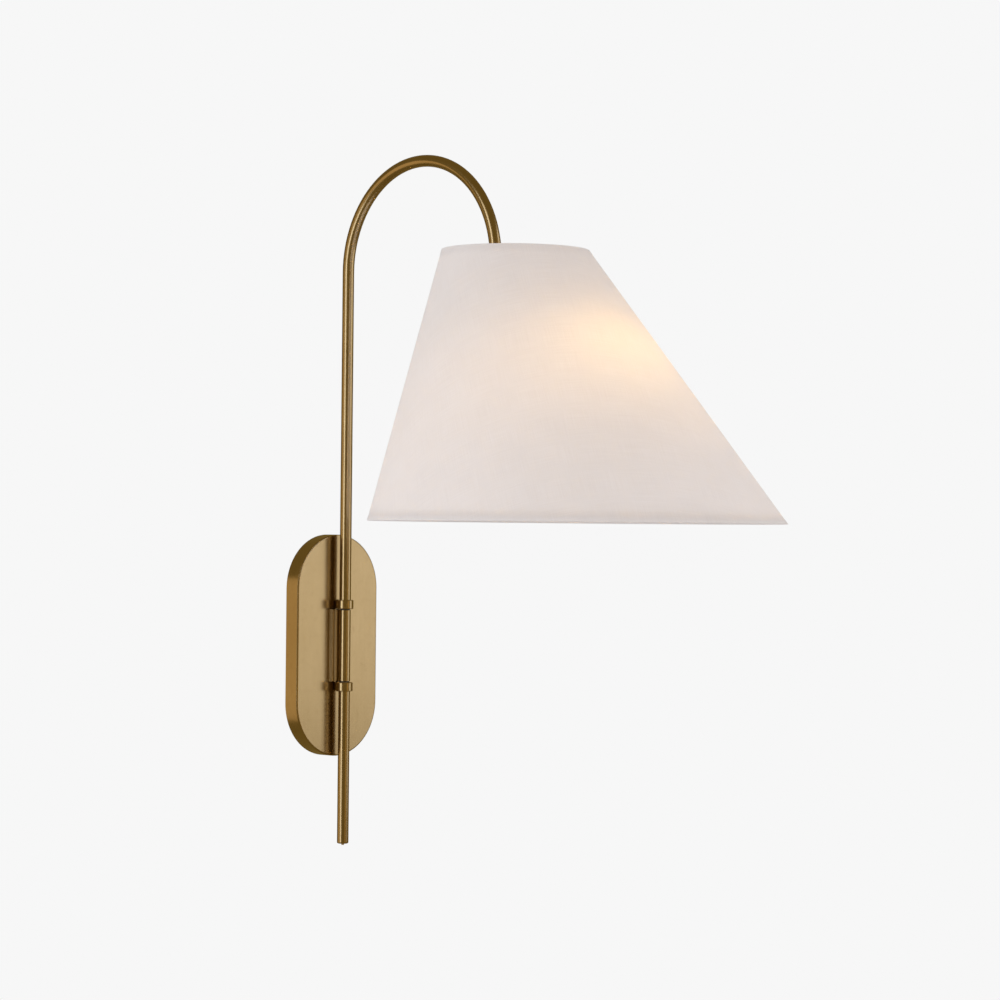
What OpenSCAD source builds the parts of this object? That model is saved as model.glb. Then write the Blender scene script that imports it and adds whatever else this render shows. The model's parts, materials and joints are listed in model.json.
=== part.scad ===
// Swing arm wall sconce: a stadium backplate, a swivel post, a crook arm and an oblique linen shade.
// The wall is the plane y = 0, the room lies at -Y, +Z is up and +X is right for someone facing the wall.
// The origin is on the wall, at the centre of the backplate. All lengths are in millimetres.

/* [Backplate] */
// Width of the backplate
plate_w = 112; // [108:1:120]
// Height of the backplate
plate_h = 231; // [220:1:240]
// Depth of the pan, from the wall to its front face
plate_d = 18; // [17:0.5:18.5]
// Sheet thickness of the pan
plate_wall = 1.5; // [1.2:0.1:1.8]
// Radius of the rounded front edge of the pan
plate_edge = 1.5; // [0.8:0.1:1.6]

/* [Mounting bracket] */
// Distance between the two outlet box screws
box_screw_spacing = 88.9; // [83:0.1:92]
// Width of each bracket slot
slot_w = 4.8; // [4.4:0.1:5.2]
// Length of each bracket slot, end to end
slot_l = 14; // [10:1:18]
// Width of the bracket strap
strap_w = 25; // [20:1:28]
// Thickness of the bracket strap
strap_t = 2; // [1.5:0.1:2.5]

/* [Swivel] */
// Distance from the wall to the swivel axis
swivel_out = 29; // [29:0.5:33]
// Height of the fixed barrel with its two bushes
barrel_h = 76; // [70:1:84]
// Width of the standoff block behind the barrel
block_w = 16.6; // [15:0.2:18]
// Width of the standoff block's foot against the pan
foot_w = 23.6; // [23:0.2:28]
// Thickness of the foot
foot_t = 4; // [3:0.5:4.5]
// Slope of the sides of the block and its foot
block_draft = 15; // [10:1:24]
// How far the barrel is let into the standoff block
saddle = 1; // [0.5:0.1:2]
// Diameter of the two collars
collar_d = 17.5; // [16:0.5:20]
// Height of each collar
collar_h = 9.5; // [8:0.5:11]
// Diameter of the spindle that turns in the barrel
spindle_d = 8; // [7.6:0.1:8.2]

/* [Arm] */
// Outside diameter of the arm, barrel and tail
tube_d = 12; // [12:0.1:12.4]
// Wall thickness of the tubes
tube_wall = 1; // [0.8:0.1:1.1]
// Height of the centre of the crook above the origin
crook_z = 389.5; // [340:0.5:420]
// Radius of the crook, to the centre of the tube
crook_r = 107.5; // [100:0.5:115]
// Straight length of tube after the crook
crook_drop = 22; // [20:1:26]
// Distance from the origin down to the end of the tail
tail_drop = 206; // [160:0.5:240]

/* [Shade] */
// Height of the shade's top edge above the origin
shade_top_z = 398; // [396:0.5:401]
// Vertical height of the shade
shade_h = 268.5; // [250:0.5:280]
// Radius of the shade's top edge
shade_top_r = 73; // [70:0.5:80]
// Radius of the shade's bottom edge
shade_bottom_r = 203; // [190:1:204]
// Distance from the swivel axis to the centre of the top edge
shade_top_out = 242; // [236:1:246]
// Distance from the swivel axis to the centre of the bottom edge
shade_bottom_out = 328.5; // [320:0.5:340]
// Thickness of the linen, measured level
fabric_t = 0.7; // [0.6:0.1:0.9]
// Thickness of the styrene liner, measured level
liner_t = 0.9; // [0.7:0.1:1]

/* [Lamp holder] */
// Tilt of the lamp holder away from straight down
socket_tilt = 52; // [45:1:58]
// Distance from the elbow's knuckle to the centre of the bulb's globe
bulb_reach = 122; // [120:1:126]
// Radius of the bulb's globe
bulb_r = 30; // [28:0.5:30]

/* [Hidden] */
$fn = 96;

// Colours
brass = [0.70, 0.57, 0.37];
steel = [0.72, 0.73, 0.74];
nylon = [0.90, 0.89, 0.84];
black = [0.10, 0.10, 0.10];
linen = [0.93, 0.91, 0.89];

// Backplate, bracket and their screws
pan_floor = plate_d - plate_wall;
tab_z = plate_h / 2 - plate_wall - 2.5;
tab_w = 16;
tab_depth = 14;
edge_screw_out = 9;
edge_screw_r = 2;
edge_screw_l = 8.6;
edge_screw_inset = 0.4;
hex_key_r = 1.15;
screw_play = 0.05;
ground_z = -22;
block_screw_z = 25;
block_screw_r = 2;
block_screw_depth = 4.2;
screw_head_r = 3.8;
screw_head_h = 2.4;
wire_hole_r = 2.4;
grommet_r = 4.2;
grommet_flange_r = 6;
grommet_flange_t = 1.2;

// Swivel
axis_y = -swivel_out;
tube_r = tube_d / 2;
bore_r = tube_r - tube_wall;
spindle_r = spindle_d / 2;
spindle_bore_r = 2.5;
running_play = 0.05;
thrust_gap = 0.1;
flange_t = 1.1;
flange_r = tube_r - 0.6;
bush_l = 8;
block_front = swivel_out - tube_r + saddle;
block_gap = 0.3;
foot_front = plate_d + foot_t;
foot_draft_in = foot_t * tan(block_draft);
block_draft_in = (block_front - foot_front) * tan(block_draft);
collar_r = collar_d / 2;
collar_floor = 2;
collar_edge = 0.7;
collar_z = barrel_h / 2 + thrust_gap;
seat_z = collar_z + collar_floor;
insert_l = 15;
window_h = 18;

// Leads
lead_r = 2.1;
wire_r = 1.1;
wire_gap = 1.15;
wire_bend_r = 4;
sheath_end = 12;
nut_x = 26;
nut_z = 12;
nut_l = 20;
nut_mouth_r = 5.5;
nut_tip_r = 3.6;

// Arm end and shade fitter
tip_y = axis_y - 2 * crook_r;
tube_end_z = crook_z - crook_drop;
nipple_r = bore_r;
nipple_bore_r = 3;
hub_t = 2;
hub_r = 11;
nut_t = 5;
nut_across = 17;
elbow_top_z = tube_end_z - hub_t - nut_t;
knuckle_z = elbow_top_z - 17;
nipple_low_z = elbow_top_z - 9;
nipple_up_z = tube_end_z + 14;
knuckle_r = 9.5;
neck_r = 7.5;

// Shade frame
shade_bottom_z = shade_top_z - shade_h;
glue_t = 0.02;
skin_t = fabric_t + glue_t + liner_t;
wire_frame_r = 1.6;
ring_top_r = shade_top_r - skin_t - wire_frame_r - 0.1;
ring_top_z = shade_top_z - 2;
ring_top_y = axis_y - shade_top_out;
ring_rise = 2.2;
ring_lean = (shade_bottom_r - shade_top_r) / shade_h;
ring_shift = (shade_bottom_out - shade_top_out) / shade_h;
ring_clear = 0.7;
ring_bottom_r = shade_bottom_r - skin_t - wire_frame_r - ring_lean * ring_rise - ring_clear;
ring_bottom_y = axis_y - shade_bottom_out + ring_shift * ring_rise;
spoke_spread = 60;

// Lamp holder, measured along its own axis from the knuckle
neck_l = 14;
holder_r = 17.5;
holder_wall = 0.8;
cap_l = 16;
insulator_w = 22;
shell_end = 68;
screw_shell_w = 37;
screw_shell_r = 13.7;
screw_shell_t = 0.4;
contact_w = 38.4;
bulb_cap_r = 13;
bulb_cap_w = 41;
glass_w = 66;
glass_t = 1;
bulb_neck_r = 12.5;
bulb_neck_end = 72;

// A shape drawn in x and z, standing off the wall from one distance to another
module off_wall(near, far) {
    translate([0, -near, 0]) rotate([90, 0, 0]) linear_extrude(far - near) children();
}

// A round bar standing off the wall at a height z
module off_wall_bar(r, near, far, x = 0, z = 0) {
    translate([x, -near, z]) rotate([90, 0, 0]) cylinder(r = r, h = far - near);
}

module stadium(w, h) {
    square([w, h - w], center = true);
    for (side = [-1, 1]) translate([0, side * (h - w) / 2]) circle(d = w);
}

// A stadium slab from the wall to its front face, whose front edge is rounded in three flats
module rounded_slab(w, h, depth, edge) {
    rim = [for (turn = [0:30:90]) [w / 2 - edge * (1 - cos(turn)), depth - edge * (1 - sin(turn))]];
    right = [for (p = rim) [p[0], -p[1]]];
    left = [for (i = [len(rim) - 1:-1:0]) [-rim[i][0], -rim[i][1]]];
    for (side = [-1, 1]) translate([0, 0, side * (h - w) / 2]) rotate([90, 0, 0])
        rotate_extrude() polygon(concat([[0, 0], [w / 2, 0]], rim, [[0, depth]]));
    translate([0, 0, (w - h) / 2]) linear_extrude(h - w)
        polygon(concat([[w / 2, 0]], right, left, [[-w / 2, 0]]));
}

// A round bar between two heights
module post(r, low, high) {
    translate([0, 0, low]) cylinder(r = r, h = high - low);
}

module pipe(r_out, r_in, low, high) {
    difference() {
        post(r_out, low, high);
        post(r_in, low - 1, high + 1);
    }
}

// A round bar from one point to another
module rod(from, to, r) {
    run = to - from;
    reach = norm(run);
    translate(from) rotate([0, acos(run[2] / reach), atan2(run[1], run[0])]) cylinder(r = r, h = reach);
}

// A bend about +X: it starts on the +Y side of its centre and turns up by an angle
module bend(radius, turn, r_out, r_in = 0) {
    rotate([90, 0, 90]) rotate_extrude(angle = turn) translate([radius, 0]) difference() {
        circle(r = r_out);
        if (r_in > 0) circle(r = r_in);
    }
}

// Children are placed on the swivel axis
module on_axis() {
    translate([0, axis_y, 0]) children();
}

// Children are placed on the upright leg at the arm's end
module on_tip() {
    translate([0, tip_y, 0]) children();
}

// Children are drawn up the lamp holder's own axis, from the knuckle to the bulb
module on_holder() {
    translate([0, tip_y, knuckle_z]) rotate([180 - socket_tilt, 0, 0]) children();
}

// The closed oblique cone of the shade, taken in by a level thickness and lengthened past both edges
module shade_cone(inset, extra = 0) {
    top_r = shade_top_r - inset - ring_lean * extra;
    bottom_r = shade_bottom_r - inset + ring_lean * extra;
    top_y = axis_y - shade_top_out + ring_shift * extra;
    bottom_y = axis_y - shade_bottom_out - ring_shift * extra;
    skin = 0.01;
    hull() {
        translate([0, top_y, shade_top_z + extra - skin]) cylinder(r = top_r, h = skin);
        translate([0, bottom_y, shade_bottom_z - extra]) cylinder(r = bottom_r, h = skin);
    }
}

module mounting_bracket() color(steel) difference() {
    union() {
        off_wall(0, strap_t) square([strap_w, 2 * tab_z], center = true);
        for (side = [-1, 1]) translate([0, 0, side * (tab_z - strap_t / 2)])
            off_wall(strap_t, tab_depth) square([tab_w, strap_t], center = true);
    }
    for (side = [-1, 1]) translate([0, 0, side * box_screw_spacing / 2]) {
        for (end = [-1, 1]) off_wall_bar(slot_w / 2, -1, strap_t + 1, z = end * (slot_l - slot_w) / 2);
        off_wall(-1, strap_t + 1) square([slot_w, slot_l - slot_w], center = true);
    }
    translate([0, -edge_screw_out, -plate_h / 2])
        cylinder(r = edge_screw_r + screw_play, h = plate_h);
    off_wall_bar(edge_screw_r + screw_play, -1, strap_t + 1, z = ground_z);
}

module backplate() color(brass) difference() {
    rounded_slab(plate_w, plate_h, plate_d, plate_edge);
    off_wall(-1, pan_floor) stadium(plate_w - 2 * plate_wall, plate_h - 2 * plate_wall);
    off_wall_bar(grommet_r, pan_floor - 1, plate_d + 1);
    for (side = [-1, 1])
        off_wall_bar(block_screw_r + 0.2, pan_floor - 1, plate_d + 1, z = side * block_screw_z);
    translate([0, -edge_screw_out, -plate_h / 2 - 1]) cylinder(r = edge_screw_r + 0.2, h = plate_h + 2);
}

// Two flush grub screws that clamp the pan's rim to the bracket's tabs
module backplate_screws() color(brass) for (side = [0, 1]) mirror([0, 0, side])
    translate([0, -edge_screw_out, plate_h / 2 - edge_screw_inset - edge_screw_l]) difference() {
        cylinder(r = edge_screw_r, h = edge_screw_l);
        translate([0, 0, edge_screw_l - 2]) cylinder(r = hex_key_r, h = 3, $fn = 6);
    }

module ground_screw() color("green") difference() {
    union() {
        off_wall_bar(edge_screw_r, 0.3, strap_t, z = ground_z);
        off_wall_bar(screw_head_r, strap_t, strap_t + screw_head_h, z = ground_z);
    }
    translate([0, 0, ground_z]) off_wall(strap_t + 1.2, strap_t + screw_head_h + 1)
        square([0.9, 2 * screw_head_r + 1], center = true);
}

module wire_grommet() color(nylon) difference() {
    union() {
        off_wall_bar(grommet_r, pan_floor, plate_d);
        off_wall_bar(grommet_flange_r, pan_floor - grommet_flange_t, pan_floor);
    }
    off_wall_bar(lead_r, pan_floor - 3, plate_d + 1);
}

// The tapered bar between the pan and the barrel, with a wider foot against the pan
module standoff_block() color(brass) difference() {
    half_h = barrel_h / 2 - block_gap;
    half = [
        [foot_w / 2, -plate_d], [foot_w / 2 - foot_draft_in, -foot_front],
        [block_w / 2, -foot_front], [block_w / 2 - block_draft_in, -block_front]
    ];
    other_half = [for (i = [len(half) - 1:-1:0]) [-half[i][0], half[i][1]]];
    translate([0, 0, -half_h]) linear_extrude(2 * half_h) polygon(concat(half, other_half));
    on_axis() post(tube_r, -barrel_h, barrel_h);
    off_wall_bar(wire_hole_r, plate_d - 1, swivel_out);
    for (side = [-1, 1]) translate([0, 0, side * block_screw_z])
        off_wall_bar(block_screw_r + screw_play, plate_d - 1, plate_d + block_screw_depth);
}

// Two pan-head screws that hold the block from inside the pan
module block_screws() color(steel) for (side = [-1, 1]) difference() {
    union() {
        off_wall_bar(block_screw_r, pan_floor, plate_d + block_screw_depth - 0.5, z = side * block_screw_z);
        off_wall_bar(screw_head_r, pan_floor - screw_head_h, pan_floor, z = side * block_screw_z);
    }
    translate([0, 0, side * block_screw_z]) off_wall(pan_floor - screw_head_h - 1, pan_floor - 1.2) {
        square([0.9, 4.4], center = true);
        square([4.4, 0.9], center = true);
    }
}

module pivot_barrel() color(brass) difference() {
    on_axis() pipe(tube_r, bore_r, flange_t - barrel_h / 2, barrel_h / 2 - flange_t);
    off_wall_bar(wire_hole_r, plate_d, swivel_out);
}

// A flanged bush at the top of the barrel
module bush() color(black) on_axis() difference() {
    union() {
        post(bore_r, barrel_h / 2 - flange_t - bush_l, barrel_h / 2 - flange_t);
        post(flange_r, barrel_h / 2 - flange_t, barrel_h / 2);
    }
    post(spindle_r + running_play, 0, barrel_h);
}

module upper_bush() bush();

module lower_bush() mirror([0, 0, 1]) bush();

// The sheathed lead's fixed end, through the grommet, the block and the barrel's wall
module supply_lead() color(nylon)
    off_wall_bar(lead_r, sheath_end, swivel_out - spindle_r - 0.4);

// The lead's two conductors inside the pan, from the sheath's end up into the connectors
module fixture_wires() color("ivory") for (side = [0, 1]) mirror([side, 0, 0]) {
    row_y = -sheath_end + wire_bend_r;
    translate([wire_gap + wire_bend_r, -sheath_end, 0])
        rotate([0, 0, 90]) rotate_extrude(angle = 90) translate([wire_bend_r, 0]) circle(r = wire_r);
    rod([wire_gap + wire_bend_r, row_y, 0], [nut_x - wire_bend_r, row_y, 0], wire_r);
    translate([nut_x - wire_bend_r, row_y, wire_bend_r]) rotate([90, 0, 0]) rotate([0, 0, -90])
        rotate_extrude(angle = 90) translate([wire_bend_r, 0]) circle(r = wire_r);
    rod([nut_x, row_y, wire_bend_r], [nut_x, row_y, nut_z + 8], wire_r);
}

// Two twist-on connectors that join the conductors to the house wiring
module wire_connectors() color("orange") for (side = [-1, 1])
    translate([side * nut_x, wire_bend_r - sheath_end, nut_z]) difference() {
        union() {
            cylinder(r = nut_mouth_r, h = 4);
            translate([0, 0, 4]) cylinder(r1 = nut_mouth_r - 0.6, r2 = nut_tip_r, h = nut_l - 4);
        }
        translate([0, 0, -1]) cylinder(r = 3, h = 11);
    }

module arm_tube() color(brass) {
    on_axis() pipe(tube_r, bore_r, seat_z, crook_z);
    translate([0, axis_y - crook_r, crook_z]) bend(crook_r, 180, tube_r, bore_r);
    on_tip() pipe(tube_r, bore_r, tube_end_z, crook_z);
}

// A collar above the barrel, whose floor the tube stands on
module collar() color(brass) on_axis() rotate_extrude() polygon([
    [spindle_r, collar_z], [collar_r - collar_edge, collar_z], [collar_r, collar_z + collar_edge],
    [collar_r, collar_z + collar_h - collar_edge], [collar_r - collar_edge, collar_z + collar_h],
    [tube_r, collar_z + collar_h], [tube_r, seat_z], [spindle_r, seat_z]
]);

module upper_collar() collar();

module lower_collar() mirror([0, 0, 1]) collar();

// The hollow spindle, with a window on its wall side where the lead comes in
module pivot_spindle() color(steel) on_axis() difference() {
    pipe(spindle_r, spindle_bore_r, 1 - seat_z - insert_l, seat_z + insert_l - 1);
    translate([-spindle_r - 1, 0, -window_h / 2]) cube([spindle_d + 2, spindle_r + 1, window_h]);
}

// A threaded insert fixed in the arm's lower end
module insert() color(steel) on_axis() pipe(bore_r, spindle_r, seat_z, seat_z + insert_l);

module upper_insert() insert();

module lower_insert() mirror([0, 0, 1]) insert();

module tail_tube() color(brass) on_axis() pipe(tube_r, bore_r, 4 - tail_drop, -seat_z);

// The domed plug that closes the tail, with its small centre nub
module tail_cap() color(brass) on_axis() {
    edge_r = 1.5;
    post(bore_r, 4 - tail_drop, 10 - tail_drop);
    post(tube_r, edge_r - tail_drop, 4 - tail_drop);
    post(tube_r - edge_r, -tail_drop, 4 - tail_drop);
    translate([0, 0, edge_r - tail_drop])
        rotate_extrude() translate([tube_r - edge_r, 0]) circle(r = edge_r);
    post(1.4, -tail_drop - 1.5, 4 - tail_drop);
}

// The lead that the arm carries, from the spindle's window over the crook to the lamp holder
module lamp_lead() color("white") {
    on_axis() post(lead_r, -3, crook_z);
    translate([0, axis_y - crook_r, crook_z]) bend(crook_r, 180, lead_r);
    on_tip() post(lead_r, knuckle_z, crook_z);
    translate([0, tip_y, knuckle_z]) sphere(r = lead_r);
    on_holder() post(lead_r, 0, insulator_w + 8);
}

module end_nipple() color(steel) on_tip() pipe(nipple_r, nipple_bore_r, nipple_low_z, nipple_up_z);

module top_ring() color(steel) translate([0, ring_top_y, ring_top_z])
    rotate_extrude() translate([ring_top_r, 0]) circle(r = wire_frame_r);

// The washer at the arm's end and its three spokes, whose tips are let into the top ring
module spider() color(steel) difference() {
    spoke_z = tube_end_z - hub_t / 2;
    union() {
        on_tip() post(hub_r, tube_end_z - hub_t, tube_end_z);
        for (turn = [0, 180 - spoke_spread, 180 + spoke_spread]) {
            rim = [ring_top_r * sin(turn), ring_top_y + ring_top_r * cos(turn), ring_top_z];
            level = [rim[0], rim[1] - tip_y, 0];
            rod([0, tip_y, spoke_z] + level * (hub_r - 2) / norm(level), rim, wire_frame_r);
        }
    }
    on_tip() post(nipple_r, tube_end_z - hub_t - 1, tube_end_z + 1);
}

module shade_nut() color(brass) on_tip() difference() {
    translate([0, 0, elbow_top_z]) cylinder(d = nut_across / cos(30), h = nut_t, $fn = 6);
    post(nipple_r, elbow_top_z - 1, elbow_top_z + nut_t + 1);
}

module bottom_ring() color(steel) translate([0, ring_bottom_y, shade_bottom_z + ring_rise])
    rotate_extrude() translate([ring_bottom_r, 0]) circle(r = wire_frame_r);

module shade_liner() color(nylon) difference() {
    shade_cone(fabric_t + glue_t);
    shade_cone(skin_t, 1);
}

module shade_fabric() color(linen) difference() {
    shade_cone(0);
    shade_cone(fabric_t, 1);
}

// The cast elbow that turns the lamp holder outwards from the arm's end
module socket_elbow() color(brass) difference() {
    union() {
        on_tip() post(neck_r, knuckle_z, elbow_top_z);
        translate([0, tip_y, knuckle_z]) sphere(r = knuckle_r);
        on_holder() post(neck_r, 0, neck_l);
    }
    on_tip() post(nipple_r, nipple_low_z, elbow_top_z + 1);
    on_tip() post(nipple_bore_r + 0.2, knuckle_z, elbow_top_z);
    translate([0, tip_y, knuckle_z]) sphere(r = 4.5);
    on_holder() post(nipple_bore_r + 0.2, 0, neck_l);
    on_holder() post(nipple_r, neck_l - 6, neck_l + 1);
}

module socket_nipple() color(steel) on_holder() pipe(nipple_r, nipple_bore_r, neck_l - 6, insulator_w);

// The domed brass cap of the lamp holder
module socket_cap() color(brass) on_holder() rotate_extrude() polygon([
    [nipple_r, neck_l], [9, neck_l], [13.5, neck_l + 2.5], [16.4, neck_l + 6], [holder_r, neck_l + 10],
    [holder_r, neck_l + cap_l], [holder_r - holder_wall, neck_l + cap_l],
    [holder_r - holder_wall, neck_l + 10.3], [15.6, neck_l + 6.8], [12.9, neck_l + 3.6],
    [8.8, neck_l + 1.2], [nipple_r, neck_l + 1.2]
]);

module socket_insulator() color(black) on_holder() difference() {
    post(holder_r - holder_wall - 2.4, insulator_w, screw_shell_w);
    post(lead_r, insulator_w - 1, insulator_w + 8);
    for (side = [-1, 1]) translate([side * 11, 0, insulator_w - 1]) cylinder(r = 2.2, h = 6);
}

// The brass sleeve round the screw shell, with a bead at its mouth
module socket_shell() color(brass) on_holder() {
    pipe(holder_r, holder_r - holder_wall, neck_l + cap_l, shell_end);
    translate([0, 0, shell_end])
        rotate_extrude() translate([holder_r - holder_wall / 2, 0]) circle(r = 0.9);
}

module screw_shell() color(steel) on_holder() difference() {
    post(screw_shell_r, screw_shell_w, shell_end - 1);
    post(screw_shell_r - screw_shell_t, screw_shell_w + screw_shell_t, shell_end);
    post(5, screw_shell_w - 1, screw_shell_w + 1);
}

module centre_contact() color(brass) on_holder() post(3, screw_shell_w, contact_w);

// The bulb's metal screw cap, narrowing to its foot contact
module bulb_cap() color(steel) on_holder() {
    post(bulb_cap_r, bulb_cap_w + 3, glass_w);
    translate([0, 0, bulb_cap_w]) cylinder(r1 = 7, r2 = bulb_cap_r, h = 3);
    post(4, contact_w, bulb_cap_w);
}

// The glass stem and its four filament supports, sealed inside the bulb
module bulb_stem() color("gold") on_holder() {
    post(5, glass_w, glass_w + 14);
    post(2, glass_w, bulb_reach + 12);
    for (turn = [45:90:315]) rotate([0, 0, turn]) {
        rod([1, 0, glass_w + 22], [9, 0, glass_w + 26], 0.5);
        rod([9, 0, glass_w + 26], [9, 0, bulb_reach + 8], 1);
        rod([9, 0, bulb_reach + 8], [1, 0, bulb_reach + 11], 0.5);
    }
}

// A bulb outline: a neck, a cone and the globe that the cone meets smoothly
module bulb_form(inset) {
    run = bulb_reach - bulb_neck_end;
    flare = atan2(run, bulb_neck_r) - acos(bulb_r / norm([run, bulb_neck_r]));
    globe = bulb_r - inset;
    meet_w = bulb_reach - globe * sin(flare);
    post(bulb_neck_r - inset, glass_w + inset, bulb_neck_end);
    translate([0, 0, bulb_neck_end])
        cylinder(r1 = bulb_neck_r - inset, r2 = globe * cos(flare), h = meet_w - bulb_neck_end);
    translate([0, 0, bulb_reach]) sphere(r = globe);
}

module bulb_glass() color("white") on_holder() difference() {
    bulb_form(0);
    bulb_form(glass_t);
    post(5, glass_w - 1, glass_w + 2);
}

mounting_bracket();
backplate();
backplate_screws();
ground_screw();
wire_grommet();
standoff_block();
block_screws();
pivot_barrel();
upper_bush();
lower_bush();
supply_lead();
fixture_wires();
wire_connectors();
arm_tube();
upper_collar();
lower_collar();
pivot_spindle();
upper_insert();
lower_insert();
tail_tube();
tail_cap();
lamp_lead();
end_nipple();
top_ring();
spider();
shade_nut();
bottom_ring();
shade_liner();
shade_fabric();
socket_elbow();
socket_nipple();
socket_cap();
socket_insulator();
socket_shell();
screw_shell();
centre_contact();
bulb_cap();
bulb_stem();
bulb_glass();
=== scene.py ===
"""Looks of the swing arm wall sconce: studio, camera, materials and the laminated linen shade."""
import json
import math

import bpy
from mathutils import Matrix, Vector


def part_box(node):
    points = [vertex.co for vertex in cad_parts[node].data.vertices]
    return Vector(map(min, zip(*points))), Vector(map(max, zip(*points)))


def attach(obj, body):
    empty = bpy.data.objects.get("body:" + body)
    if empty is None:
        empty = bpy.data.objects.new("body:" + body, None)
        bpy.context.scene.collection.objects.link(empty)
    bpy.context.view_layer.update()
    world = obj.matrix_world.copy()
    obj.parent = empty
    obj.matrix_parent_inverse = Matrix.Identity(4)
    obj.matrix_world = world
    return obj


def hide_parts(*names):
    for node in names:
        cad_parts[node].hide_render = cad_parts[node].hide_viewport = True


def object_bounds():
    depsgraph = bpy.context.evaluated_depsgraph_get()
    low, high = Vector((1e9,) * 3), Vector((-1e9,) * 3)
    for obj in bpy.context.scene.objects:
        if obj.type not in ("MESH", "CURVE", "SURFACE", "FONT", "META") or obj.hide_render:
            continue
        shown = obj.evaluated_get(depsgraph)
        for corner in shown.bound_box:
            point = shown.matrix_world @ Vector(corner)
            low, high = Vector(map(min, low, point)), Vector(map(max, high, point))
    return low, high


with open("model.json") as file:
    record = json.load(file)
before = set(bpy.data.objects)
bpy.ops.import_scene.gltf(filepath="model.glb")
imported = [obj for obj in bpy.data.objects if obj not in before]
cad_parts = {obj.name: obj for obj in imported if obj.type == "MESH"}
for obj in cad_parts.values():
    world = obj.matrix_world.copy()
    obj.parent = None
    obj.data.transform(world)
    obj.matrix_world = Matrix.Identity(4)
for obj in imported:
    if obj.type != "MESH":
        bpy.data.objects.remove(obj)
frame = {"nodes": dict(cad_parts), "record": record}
CAD_LOW, CAD_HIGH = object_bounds()

# Camera, measured from the wall origin (metres and degrees; lens and sensor in millimetres)
CAMERA_AZIMUTH = 45.755
CAMERA_PITCH = 0.661
CAMERA_ROLL = 0.546
CAMERA_DISTANCE = 3.132
CAMERA_LENS = 107.46
CAMERA_SENSOR = 36
ORIGIN_LEFT = 0.1827
ORIGIN_BELOW = 0.1517

# Studio (sizes in metres): the camera sees BACKGROUND, glossy surfaces mirror ROOM between the lights,
# and AMBIENT lights everything else
BACKGROUND = (0.930, 0.930, 0.930)
FLOOR_DROP = 0.45
FLOOR_SIZE = 2.4
FLOOR_COLOUR = (0.86, 0.86, 0.86)
AMBIENT = (0.815, 0.780, 0.800)
ROOM = (0.22, 0.155, 0.045)

# Bulb: its glow rises from DIM to STRENGTH between two places on its axis, given in metres from the
# globe's middle towards its tip
BULB_COLOUR = (1.0, 0.59, 0.17)
BULB_STRENGTH = 22.5
BULB_DIM = 0.4
BULB_DARK_TO = -0.009
BULB_FULL_FROM = 0.022

# Shade (metres; AROUND and ROWS are counts, GRAIN_SIDE is in degrees, THROUGH is a share of the light)
SKIN = 0.0016
RING_TO_EDGE = 0.0017
AROUND = 288
ROWS = 40
HEM = 0.0045
HEM_PROUD = 0.0002
GRAIN_SIDE = 45.0
THREAD = 0.0007
THROUGH = 0.5

# Lapped seam down the shade (metres; SEAM_ROWS is a count)
SEAM_HALF_WIDTH = 0.0045
SEAM_EDGE_WIDTH = 0.0004
SEAM_THICKNESS = 0.0005
SEAM_SUNK = 0.0001
SEAM_END_GAP = 0.0012
SEAM_HEM_MARGIN = 0.001
SEAM_ROWS = 24

# Sockets of the Mix node that hold colours
MIX_FIRST, MIX_SECOND, MIX_RESULT = 6, 7, 2


# ---------------------------------------------------------------- node helpers
class Graph:
    """A material's node tree, with short calls to add and join nodes."""

    def __init__(self, name):
        self.material = bpy.data.materials.new(name)
        self.material.use_nodes = True
        self.tree = self.material.node_tree
        self.tree.nodes.clear()
        self.output = self.add("ShaderNodeOutputMaterial")

    def add(self, kind, values=None, **settings):
        node = self.tree.nodes.new(kind)
        for key, value in settings.items():
            setattr(node, key, value)
        for key, value in (values or {}).items():
            if isinstance(value, bpy.types.NodeSocket):
                self.tree.links.new(value, node.inputs[key])
            else:
                node.inputs[key].default_value = value
        return node

    def math(self, operation, a, b=0.0):
        return self.add("ShaderNodeMath", {0: a, 1: b}, operation=operation).outputs[0]

    def place(self, scale=(1, 1, 1), kind="Object"):
        """Coordinates in metres, scaled along each axis."""
        source = self.add("ShaderNodeTexCoord").outputs[kind]
        return self.add("ShaderNodeMapping", {"Vector": source, "Scale": scale}).outputs[0]

    def noise(self, vector, scale, detail=3.0, rough=0.5):
        return self.add(
            "ShaderNodeTexNoise",
            {"Vector": vector, "Scale": scale, "Detail": detail, "Roughness": rough},
        ).outputs["Fac"]

    def spread(self, value, low, high, start=0.3, end=0.7):
        """Maps a noise value onto a range of numbers."""
        return self.add(
            "ShaderNodeMapRange",
            {"Value": value, "From Min": start, "From Max": end, "To Min": low, "To Max": high},
        ).outputs[0]

    def blend(self, factor, first, second):
        """Mixes two colours by a factor."""
        node = self.add("ShaderNodeMix", data_type="RGBA")
        self.tree.links.new(factor, node.inputs[0])
        for index, colour in ((MIX_FIRST, first), (MIX_SECOND, second)):
            if isinstance(colour, bpy.types.NodeSocket):
                self.tree.links.new(colour, node.inputs[index])
            else:
                node.inputs[index].default_value = (*colour, 1)
        return node.outputs[MIX_RESULT]

    def bump(self, height, distance, strength=1.0, normal=None):
        node = self.add("ShaderNodeBump", {"Height": height, "Distance": distance, "Strength": strength})
        if normal is not None:
            self.tree.links.new(normal, node.inputs["Normal"])
        return node.outputs[0]

    def principled(self, **values):
        inputs = {}
        for key, value in values.items():
            inputs[key.replace("_", " ").title().replace("Ior", "IOR")] = value
        return self.add("ShaderNodeBsdfPrincipled", inputs)

    def finish(self, shader):
        self.tree.links.new(shader, self.output.inputs["Surface"])
        return self.material


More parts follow.
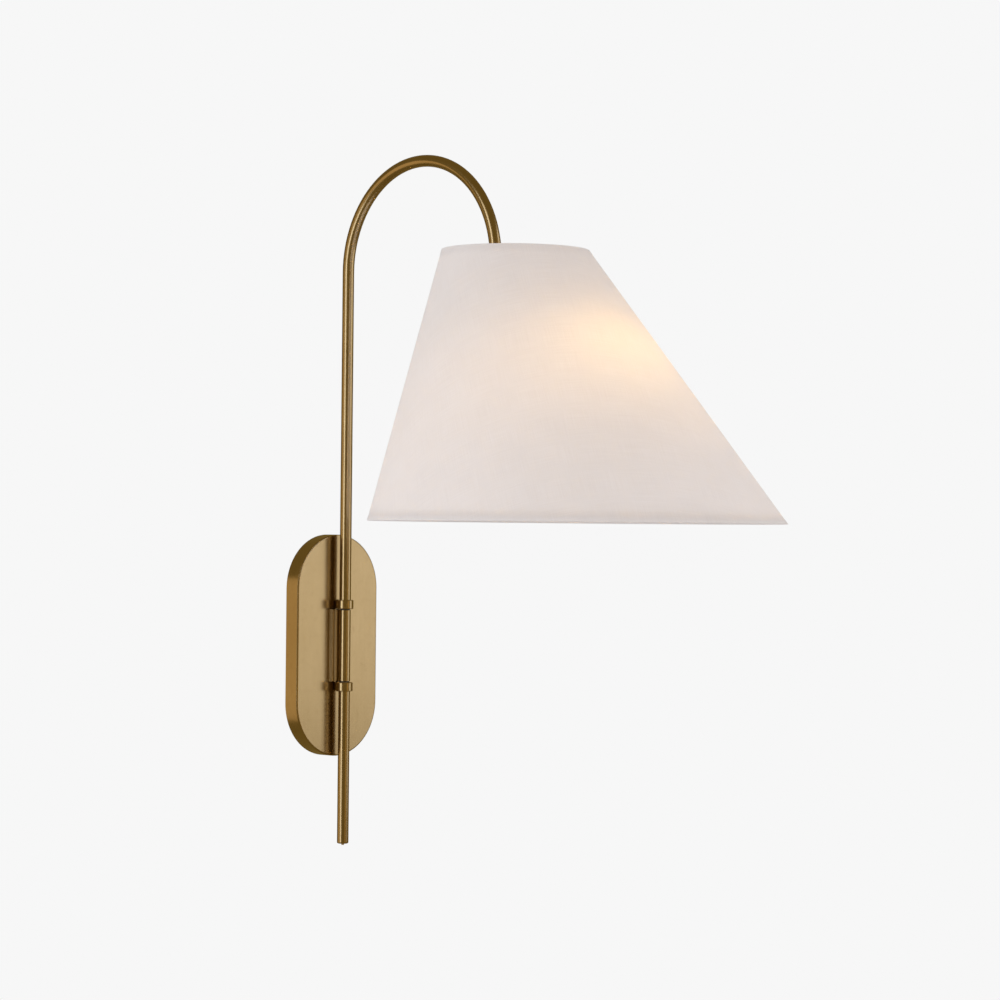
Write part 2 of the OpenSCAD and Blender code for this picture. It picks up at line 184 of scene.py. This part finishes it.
# ------------------------------------------------------------------- materials
def antique_brass():
    """Satin brass, rubbed along its length, with a faint brown patina."""
    graph = Graph("antique_brass")
    cloud = graph.noise(graph.place(), 14.0, 4.0, 0.55)
    fleck = graph.noise(graph.place(), 160.0, 2.0)
    rub = graph.noise(graph.place((500, 500, 20)), 1.0, 2.0)
    colour = graph.blend(graph.spread(cloud, 0, 1), (0.43, 0.325, 0.178), (0.50, 0.385, 0.222))
    colour = graph.blend(graph.spread(fleck, 0, 0.22, 0.55, 0.8), colour, (0.33, 0.22, 0.11))
    rough = graph.math("ADD", graph.spread(rub, 0.20, 0.23), graph.spread(cloud, 0.0, 0.04))
    normal = graph.bump(rub, 0.00001, 0.05)
    shader = graph.principled(base_color=colour, metallic=1.0, roughness=rough, normal=normal)
    return graph.finish(shader.outputs[0])


def zinc_steel():
    graph = Graph("zinc_steel")
    spangle = graph.noise(graph.place(), 90.0, 2.0)
    rub = graph.noise(graph.place((500, 500, 60)), 1.0, 2.0)
    colour = graph.blend(graph.spread(spangle, 0, 1), (0.55, 0.56, 0.58), (0.70, 0.71, 0.72))
    rough = graph.spread(rub, 0.30, 0.42)
    normal = graph.bump(rub, 0.00003, 0.3)
    shader = graph.principled(base_color=colour, metallic=1.0, roughness=rough, normal=normal)
    return graph.finish(shader.outputs[0])


def plastic(name, dark, light, rough=0.5, grain=700.0, grain_depth=0.00003):
    """A moulded plastic or enamel with fine grain and slight mottling."""
    graph = Graph(name)
    mottle = graph.noise(graph.place(), 40.0, 3.0)
    fine = graph.noise(graph.place(), grain, 2.0)
    colour = graph.blend(graph.spread(mottle, 0, 1), dark, light)
    shader = graph.principled(
        base_color=colour,
        roughness=graph.spread(fine, rough - 0.06, rough + 0.06),
        normal=graph.bump(fine, grain_depth, 0.4),
    )
    return graph.finish(shader.outputs[0])


def metal(name, dark, light, low, high):
    """A plain metal with small changes of colour and roughness."""
    graph = Graph(name)
    fine = graph.noise(graph.place(), 300.0, 3.0)
    colour = graph.blend(graph.spread(fine, 0, 1), dark, light)
    shader = graph.principled(base_color=colour, metallic=1.0, roughness=graph.spread(fine, low, high))
    return graph.finish(shader.outputs[0])


def stem_glass():
    graph = Graph("stem_glass")
    fine = graph.noise(graph.place(), 120.0, 2.0)
    shader = graph.principled(
        base_color=(0.97, 0.94, 0.86, 1),
        roughness=graph.spread(fine, 0.05, 0.12),
        transmission_weight=0.8,
        ior=1.5,
    )
    return graph.finish(shader.outputs[0])


def globe_front():
    """The middle of the bulb's globe and the direction from its cap to its tip."""
    low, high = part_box("bulb_glass")
    radius = (high.x - low.x) / 2
    middle = Vector((0, low.y + radius, low.z + radius))
    cap_low, cap_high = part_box("bulb_cap")
    return middle, (middle - (cap_low + cap_high) / 2).normalized()


def lit_glass():
    """Frosted glass, brightest at its tip. The half towards the cap is coated and dim."""
    graph = Graph("frosted_glass")
    frost = graph.noise(graph.place(), 900.0, 2.0)
    middle, facing = globe_front()
    offset = graph.add("ShaderNodeVectorMath", {0: graph.place(), 1: middle}, operation="SUBTRACT")
    along = graph.add("ShaderNodeVectorMath", {0: offset.outputs[0], 1: facing}, operation="DOT_PRODUCT")
    strength = graph.spread(along.outputs["Value"], BULB_DIM, BULB_STRENGTH, BULB_DARK_TO, BULB_FULL_FROM)
    shader = graph.principled(
        base_color=(0.95, 0.92, 0.86, 1),
        roughness=graph.spread(frost, 0.45, 0.60),
        emission_color=(*BULB_COLOUR, 1),
        emission_strength=strength,
    )
    return graph.finish(shader.outputs[0])


def linen():
    """Plain weave linen, laid out by the cut's flat coordinates, that lets the bulb's light through."""
    graph = Graph("linen")
    flat = graph.place(kind="UV")
    parts = graph.add("ShaderNodeSeparateXYZ", {0: flat})
    across, along = parts.outputs[0], parts.outputs[1]
    warp = graph.math("SINE", graph.math("MULTIPLY", across, 2 * math.pi / THREAD))
    weft = graph.math("SINE", graph.math("MULTIPLY", along, 2 * math.pi / THREAD))
    weave = graph.math("MULTIPLY", warp, weft)
    # thick and thin threads, long one way and a thread wide the other
    slub_up = graph.noise(graph.place((1500, 28, 1), "UV"), 1.0, 2.0)
    slub_side = graph.noise(graph.place((24, 1300, 1), "UV"), 1.0, 2.0)
    slub = graph.math("ADD", slub_up, slub_side)
    cloud = graph.noise(flat, 30.0, 3.0)
    height = graph.math("ADD", graph.math("MULTIPLY", weave, 0.5), slub)
    shade = graph.math("ADD", graph.spread(slub, 0, 0.7, 0.6, 1.4), graph.spread(cloud, 0.1, 0.25))
    colour = graph.blend(shade, (0.80, 0.78, 0.765), (0.89, 0.875, 0.865))
    through = graph.blend(shade, (0.86, 0.83, 0.79), (0.95, 0.93, 0.90))
    normal = graph.bump(height, 0.00012, 0.5)
    front = graph.principled(
        base_color=colour, roughness=0.85, normal=normal, sheen_weight=0.25, sheen_roughness=0.5
    )
    passing = graph.add("ShaderNodeBsdfTranslucent", {"Color": through, "Normal": normal})
    mixed = graph.add("ShaderNodeMixShader", {0: THROUGH, 1: front.outputs[0], 2: passing.outputs[0]})
    return graph.finish(mixed.outputs[0])


def styrene():
    """The smooth white liner, which passes light as the linen does."""
    graph = Graph("styrene")
    fine = graph.noise(graph.place(), 500.0, 2.0)
    cloud = graph.noise(graph.place(), 12.0, 2.0)
    colour = graph.blend(graph.spread(cloud, 0, 1), (0.90, 0.89, 0.87), (0.94, 0.93, 0.915))
    normal = graph.bump(fine, 0.00004, 0.3)
    front = graph.principled(base_color=colour, roughness=graph.spread(fine, 0.42, 0.55), normal=normal)
    passing = graph.add("ShaderNodeBsdfTranslucent", {"Color": colour, "Normal": normal})
    mixed = graph.add("ShaderNodeMixShader", {0: THROUGH, 1: front.outputs[0], 2: passing.outputs[0]})
    return graph.finish(mixed.outputs[0])


MATERIALS = {
    "antique_brass": antique_brass(),
    "zinc_steel": zinc_steel(),
    "green_screw": plastic("green_screw", (0.03, 0.20, 0.07), (0.06, 0.28, 0.10), 0.35),
    "black_acetal": plastic("black_acetal", (0.012, 0.012, 0.012), (0.022, 0.021, 0.020), 0.4),
    "nylon": plastic("nylon", (0.74, 0.72, 0.64), (0.82, 0.80, 0.74), 0.45),
    "lead_jacket": plastic("lead_jacket", (0.72, 0.71, 0.67), (0.80, 0.79, 0.76), 0.5),
    "wire_jacket": plastic("wire_jacket", (0.66, 0.65, 0.60), (0.74, 0.73, 0.69), 0.45),
    "connector_plastic": plastic("connector_plastic", (0.72, 0.24, 0.04), (0.82, 0.30, 0.06), 0.4),
    "white_wire": plastic("white_wire", (0.72, 0.71, 0.68), (0.80, 0.79, 0.77), 0.35),
    "phenolic": plastic("phenolic", (0.015, 0.014, 0.013), (0.03, 0.028, 0.026), 0.35),
    "bare_aluminium": metal("bare_aluminium", (0.68, 0.69, 0.70), (0.80, 0.81, 0.82), 0.22, 0.34),
    "contact_brass": metal("contact_brass", (0.60, 0.46, 0.20), (0.74, 0.58, 0.28), 0.2, 0.3),
    "stem_glass": stem_glass(),
    "frosted_glass": lit_glass(),
    "linen": linen(),
    "styrene": styrene(),
}


def dress_nodes():
    """Gives every CAD node the material of its slot."""
    for part in frame["record"]["subparts"]:
        mesh = frame["nodes"][part["node"]].data
        mesh.materials.clear()
        mesh.materials.append(MATERIALS[part["material_slot"]])


# ----------------------------------------------------------------------- shade
class Cone:
    """The shade's outer surface: an oblique cone between a small level circle and a large one."""

    def __init__(self):
        low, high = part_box("shade_fabric")
        ring_low, ring_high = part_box("top_ring")
        self.top = Vector((0, (ring_low.y + ring_high.y) / 2, high.z))
        self.top_r = ring_high.x + RING_TO_EDGE
        self.bottom = Vector((0, (low.y + high.y) / 2, low.z))
        self.bottom_r = high.x
        self.height = high.z - low.z
        self.apex = self.top - (self.bottom - self.top) * self.top_r / (self.bottom_r - self.top_r)
        self.turns = self.unroll()

    def point(self, angle, z, inset=0.0):
        """A point at an angle from the seam and a height, set in level from the surface."""
        share = (self.top.z - z) / self.height
        centre = self.top.lerp(self.bottom, share)
        radius = self.top_r + (self.bottom_r - self.top_r) * share - inset
        return Vector((centre.x + radius * math.sin(angle), centre.y + radius * math.cos(angle), z))

    def unroll(self):
        """The flat angle of each generator in the cut, counted from the seam."""
        rays = []
        for i in range(AROUND + 1):
            rays.append((self.point(math.tau * i / AROUND, self.top.z) - self.apex).normalized())
        turns = [0.0]
        for before, after in zip(rays, rays[1:]):
            turns.append(turns[-1] + before.angle(after))
        return turns

    def flat(self, i, z):
        """Where a point lies in the flat cut, in metres, with the middle of the cut straight down."""
        reach = (self.point(math.tau * i / AROUND, z) - self.apex).length
        turn = self.turns[i] - self.turns[-1] / 2
        return reach * math.sin(turn), -reach * math.cos(turn)

    def grain(self, i, z):
        """The same place, turned so that the threads run level on the side GRAIN_SIDE off the front."""
        side = self.turns[round(AROUND * (180 + GRAIN_SIDE) / 360)] - self.turns[-1] / 2
        across, along = self.flat(i, z)
        return (
            across * math.cos(side) + along * math.sin(side),
            along * math.cos(side) - across * math.sin(side),
        )

    def cut(self):
        """The flat cut's width, length and area."""
        corners = [self.flat(i, z) for i in range(AROUND + 1) for z in (self.top.z, self.bottom.z)]
        wide = max(c[0] for c in corners) - min(c[0] for c in corners)
        long = max(c[1] for c in corners) - min(c[1] for c in corners)
        area = 0.0
        for i in range(AROUND):
            turn = self.turns[i + 1] - self.turns[i]
            far = (self.point(math.tau * i / AROUND, self.bottom.z) - self.apex).length
            near = (self.point(math.tau * i / AROUND, self.top.z) - self.apex).length
            area += (far ** 2 - near ** 2) / 2 * turn
        return wide, long, area


def edge_roll(z, way):
    """Section of a hem from the outside round the ring to the inside: (inset, height) pairs.
    way is 1 at the bottom edge and -1 at the top edge."""
    steps = [
        (0.0, HEM), (-HEM_PROUD, HEM - 0.0003), (-HEM_PROUD, 0.0008), (-0.0001, 0.0002), (0.0003, 0.0),
        (0.0018, -0.0001), (0.0038, 0.0), (0.0056, 0.0005), (0.0066, 0.0014), (0.0069, 0.0026),
        (0.0060, 0.0040), (0.0040, 0.0050), (0.0030, 0.0058), (0.0024, HEM + 0.0018), (SKIN, HEM + 0.0022),
    ]
    return [(inset, z + way * rise) for inset, rise in steps]


def skin_section(cone):
    """The closed section of the shade, and how many of its rows are linen."""
    bottom = edge_roll(cone.bottom.z, 1)
    top = [(inset, z) for inset, z in reversed(edge_roll(cone.top.z, -1))]
    start, end = cone.top.z - HEM, cone.bottom.z + HEM
    outside = [(0.0, start + (end - start) * k / ROWS) for k in range(1, ROWS)]
    low, high = bottom[-1][1], top[0][1]
    inside = [(SKIN, low + (high - low) * k / ROWS) for k in range(1, ROWS)]
    section = outside + bottom + inside + top
    return section, len(outside) + len(bottom), len(inside)


def build_skin(cone):
    """Linen laminated to its liner, rolled over both rings, as one closed piece."""
    section, liner_start, liner_rows = skin_section(cone)
    count = len(section)
    points = [cone.point(math.tau * i / AROUND, z, inset) for i in range(AROUND) for inset, z in section]
    faces, flats, liner = [], [], []
    for i in range(AROUND):
        j = (i + 1) % AROUND
        for k in range(count):
            n = (k + 1) % count
            faces.append((i * count + k, i * count + n, j * count + n, j * count + k))
            flats += [cone.grain(i, section[k][1]), cone.grain(i, section[n][1])]
            flats += [cone.grain(i + 1, section[n][1]), cone.grain(i + 1, section[k][1])]
            liner.append(liner_start - 1 <= k < liner_start + liner_rows)
    mesh = bpy.data.meshes.new("shade_skin")
    mesh.from_pydata(points, [], faces)
    layer = mesh.uv_layers.new(name="cut")
    for loop, place in zip(layer.data, flats):
        loop.uv = place
    mesh.materials.append(MATERIALS["linen"])
    mesh.materials.append(MATERIALS["styrene"])
    for polygon, inside in zip(mesh.polygons, liner):
        polygon.material_index = int(inside)
        polygon.use_smooth = True
    mesh.update()
    skin = bpy.data.objects.new("shade_skin", mesh)
    bpy.context.collection.objects.link(skin)
    return skin


def build_seam(cone):
    """The lapped end of the linen, a thin strip down the shade's wall side."""
    edge, flat = SEAM_HALF_WIDTH, SEAM_HALF_WIDTH - SEAM_EDGE_WIDTH
    profile = [(-edge, 0.0), (-flat, SEAM_THICKNESS), (flat, SEAM_THICKNESS), (edge, 0.0)]
    points, faces = [], []
    start, end = cone.top.z - SEAM_END_GAP, cone.bottom.z + SEAM_END_GAP
    for k in range(SEAM_ROWS + 1):
        z = start + (end - start) * k / SEAM_ROWS
        radius = (cone.point(0, z) - cone.point(math.pi, z)).length / 2
        from_end = min(cone.top.z - z, z - cone.bottom.z)
        proud = HEM_PROUD if from_end < HEM + SEAM_HEM_MARGIN else 0.0
        points += [cone.point(across / radius, z, SEAM_SUNK - rise - proud) for across, rise in profile]
    width = len(profile)
    for k in range(SEAM_ROWS):
        for c in range(width - 1):
            corner = k * width + c
            faces.append((corner, corner + 1, corner + 1 + width, corner + width))
        faces.append((k * width + width - 1, k * width, (k + 1) * width, (k + 2) * width - 1))
    faces.append(tuple(range(width)))
    faces.append(tuple(reversed(range(SEAM_ROWS * width, (SEAM_ROWS + 1) * width))))
    mesh = bpy.data.meshes.new("shade_seam")
    mesh.from_pydata(points, [], faces)
    layer = mesh.uv_layers.new(name="cut")
    for loop in mesh.loops:
        point = mesh.vertices[loop.vertex_index].co
        layer.data[loop.index].uv = (point.x, point.z)
    mesh.materials.append(MATERIALS["linen"])
    seam = bpy.data.objects.new("shade_seam", mesh)
    bpy.context.collection.objects.link(seam)
    return seam


def make_shade():
    cone = Cone()
    skin, seam = build_skin(cone), build_seam(cone)
    for piece in (skin, seam):
        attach(piece, "arm")
    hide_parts("shade_fabric", "shade_liner")


# ---------------------------------------------------------------------- studio
def camera_axes():
    """The camera's right, up and forward directions."""
    azimuth, pitch, roll = (math.radians(angle) for angle in (CAMERA_AZIMUTH, CAMERA_PITCH, CAMERA_ROLL))
    level = Vector((math.sin(azimuth), math.cos(azimuth), 0))
    side = Vector((math.cos(azimuth), -math.sin(azimuth), 0))
    forward = level * math.cos(pitch) + Vector((0, 0, math.sin(pitch)))
    upward = Vector((0, 0, math.cos(pitch))) - level * math.sin(pitch)
    right = side * math.cos(roll) + upward * math.sin(roll)
    up = upward * math.cos(roll) - side * math.sin(roll)
    return right, up, forward


def make_camera():
    right, up, forward = camera_axes()
    data = bpy.data.cameras.new("camera")
    data.lens = CAMERA_LENS
    data.sensor_width = CAMERA_SENSOR
    camera = bpy.data.objects.new("camera", data)
    bpy.context.collection.objects.link(camera)
    place = right * ORIGIN_LEFT + up * ORIGIN_BELOW - forward * CAMERA_DISTANCE
    camera.matrix_world = Matrix.Translation(place) @ Matrix((right, up, -forward)).transposed().to_4x4()
    bpy.context.scene.camera = camera


def soft_box(name, turn, height, distance, size, glow, colour, mirrored=True):
    """A rectangular light aimed at the object. turn is its angle right of the camera, in degrees, glow is
    its brightness as metal reflects it, and only a mirrored one shows in metal."""
    heading = math.radians(CAMERA_AZIMUTH - turn)
    target = (CAD_LOW + CAD_HIGH) / 2
    towards = Vector((-math.sin(heading), -math.cos(heading), 0))
    place = target + towards * distance + Vector((0, 0, height))
    data = bpy.data.lights.new(name, "AREA")
    data.shape = "RECTANGLE"
    data.size, data.size_y = size
    data.energy = glow * math.pi * size[0] * size[1]
    data.color = colour
    light = bpy.data.objects.new(name, data)
    bpy.context.collection.objects.link(light)
    light.location = place
    light.visible_glossy = mirrored
    light.rotation_mode = "QUATERNION"
    light.rotation_quaternion = (target - place).to_track_quat("-Z", "Y")


def make_floor():
    """A plain pale floor below the object, seen through from underneath and not mirrored in the metal."""
    half = FLOOR_SIZE / 2
    centre = (CAD_LOW + CAD_HIGH) / 2
    z = CAD_LOW.z - FLOOR_DROP
    sides = ((-1, -1), (1, -1), (1, 1), (-1, 1))
    corners = [(centre.x + x * half, centre.y + y * half, z) for x, y in sides]
    mesh = bpy.data.meshes.new("floor")
    mesh.from_pydata(corners, [], [(0, 1, 2, 3)])
    graph = Graph("floor_paper")
    paper = graph.principled(base_color=(*FLOOR_COLOUR, 1), roughness=0.9)
    clear = graph.add("ShaderNodeBsdfTransparent")
    side = graph.add("ShaderNodeNewGeometry").outputs["Backfacing"]
    mixed = graph.add("ShaderNodeMixShader", {0: side, 1: paper.outputs[0], 2: clear.outputs[0]})
    mesh.materials.append(graph.finish(mixed.outputs[0]))
    floor = bpy.data.objects.new("floor", mesh)
    floor.visible_glossy = False
    bpy.context.collection.objects.link(floor)


def make_world():
    """A pale backdrop for the camera, a dim warm room in the metal and a soft light on everything else."""
    world = bpy.data.worlds.new("studio")
    world.use_nodes = True
    tree = world.node_tree
    tree.nodes.clear()
    path = tree.nodes.new("ShaderNodeLightPath")
    sky = tree.nodes.new("ShaderNodeBackground")
    sky.inputs[0].default_value = (*AMBIENT, 1)
    for ray, colour in (("Is Glossy Ray", ROOM), ("Is Camera Ray", BACKGROUND)):
        other = tree.nodes.new("ShaderNodeBackground")
        other.inputs[0].default_value = (*colour, 1)
        mix = tree.nodes.new("ShaderNodeMixShader")
        tree.links.new(path.outputs[ray], mix.inputs[0])
        tree.links.new(sky.outputs[0], mix.inputs[1])
        tree.links.new(other.outputs[0], mix.inputs[2])
        sky = mix
    output = tree.nodes.new("ShaderNodeOutputWorld")
    tree.links.new(sky.outputs[0], output.inputs[0])
    bpy.context.scene.world = world


def make_studio():
    make_world()
    make_floor()
    soft_box("key_right", turn=91, height=0.5, distance=2.4, size=(1.5, 2.1),
             glow=0.97, colour=(1.0, 1.0, 1.0))
    soft_box("warm_right", turn=50, height=0.1, distance=2.4, size=(0.9, 2.2),
             glow=0.36, colour=(1.0, 0.63, 0.25))
    soft_box("strip_left", turn=-50, height=0.3, distance=2.4, size=(1.0, 2.6),
             glow=1.75, colour=(0.96, 0.98, 1.0))
    soft_box("warm_left", turn=-88, height=-0.4, distance=2.4, size=(1.4, 1.8),
             glow=0.5, colour=(1.0, 0.70, 0.38))
    soft_box("low_left", turn=-75, height=-0.9, distance=2.0, size=(1.4, 1.0),
             glow=1.5, colour=(0.30, 0.60, 1.0), mirrored=False)
    bpy.context.scene.view_settings.view_transform = "Standard"
    bpy.context.scene.view_settings.look = "None"


make_camera()
make_studio()
dress_nodes()
make_shade()
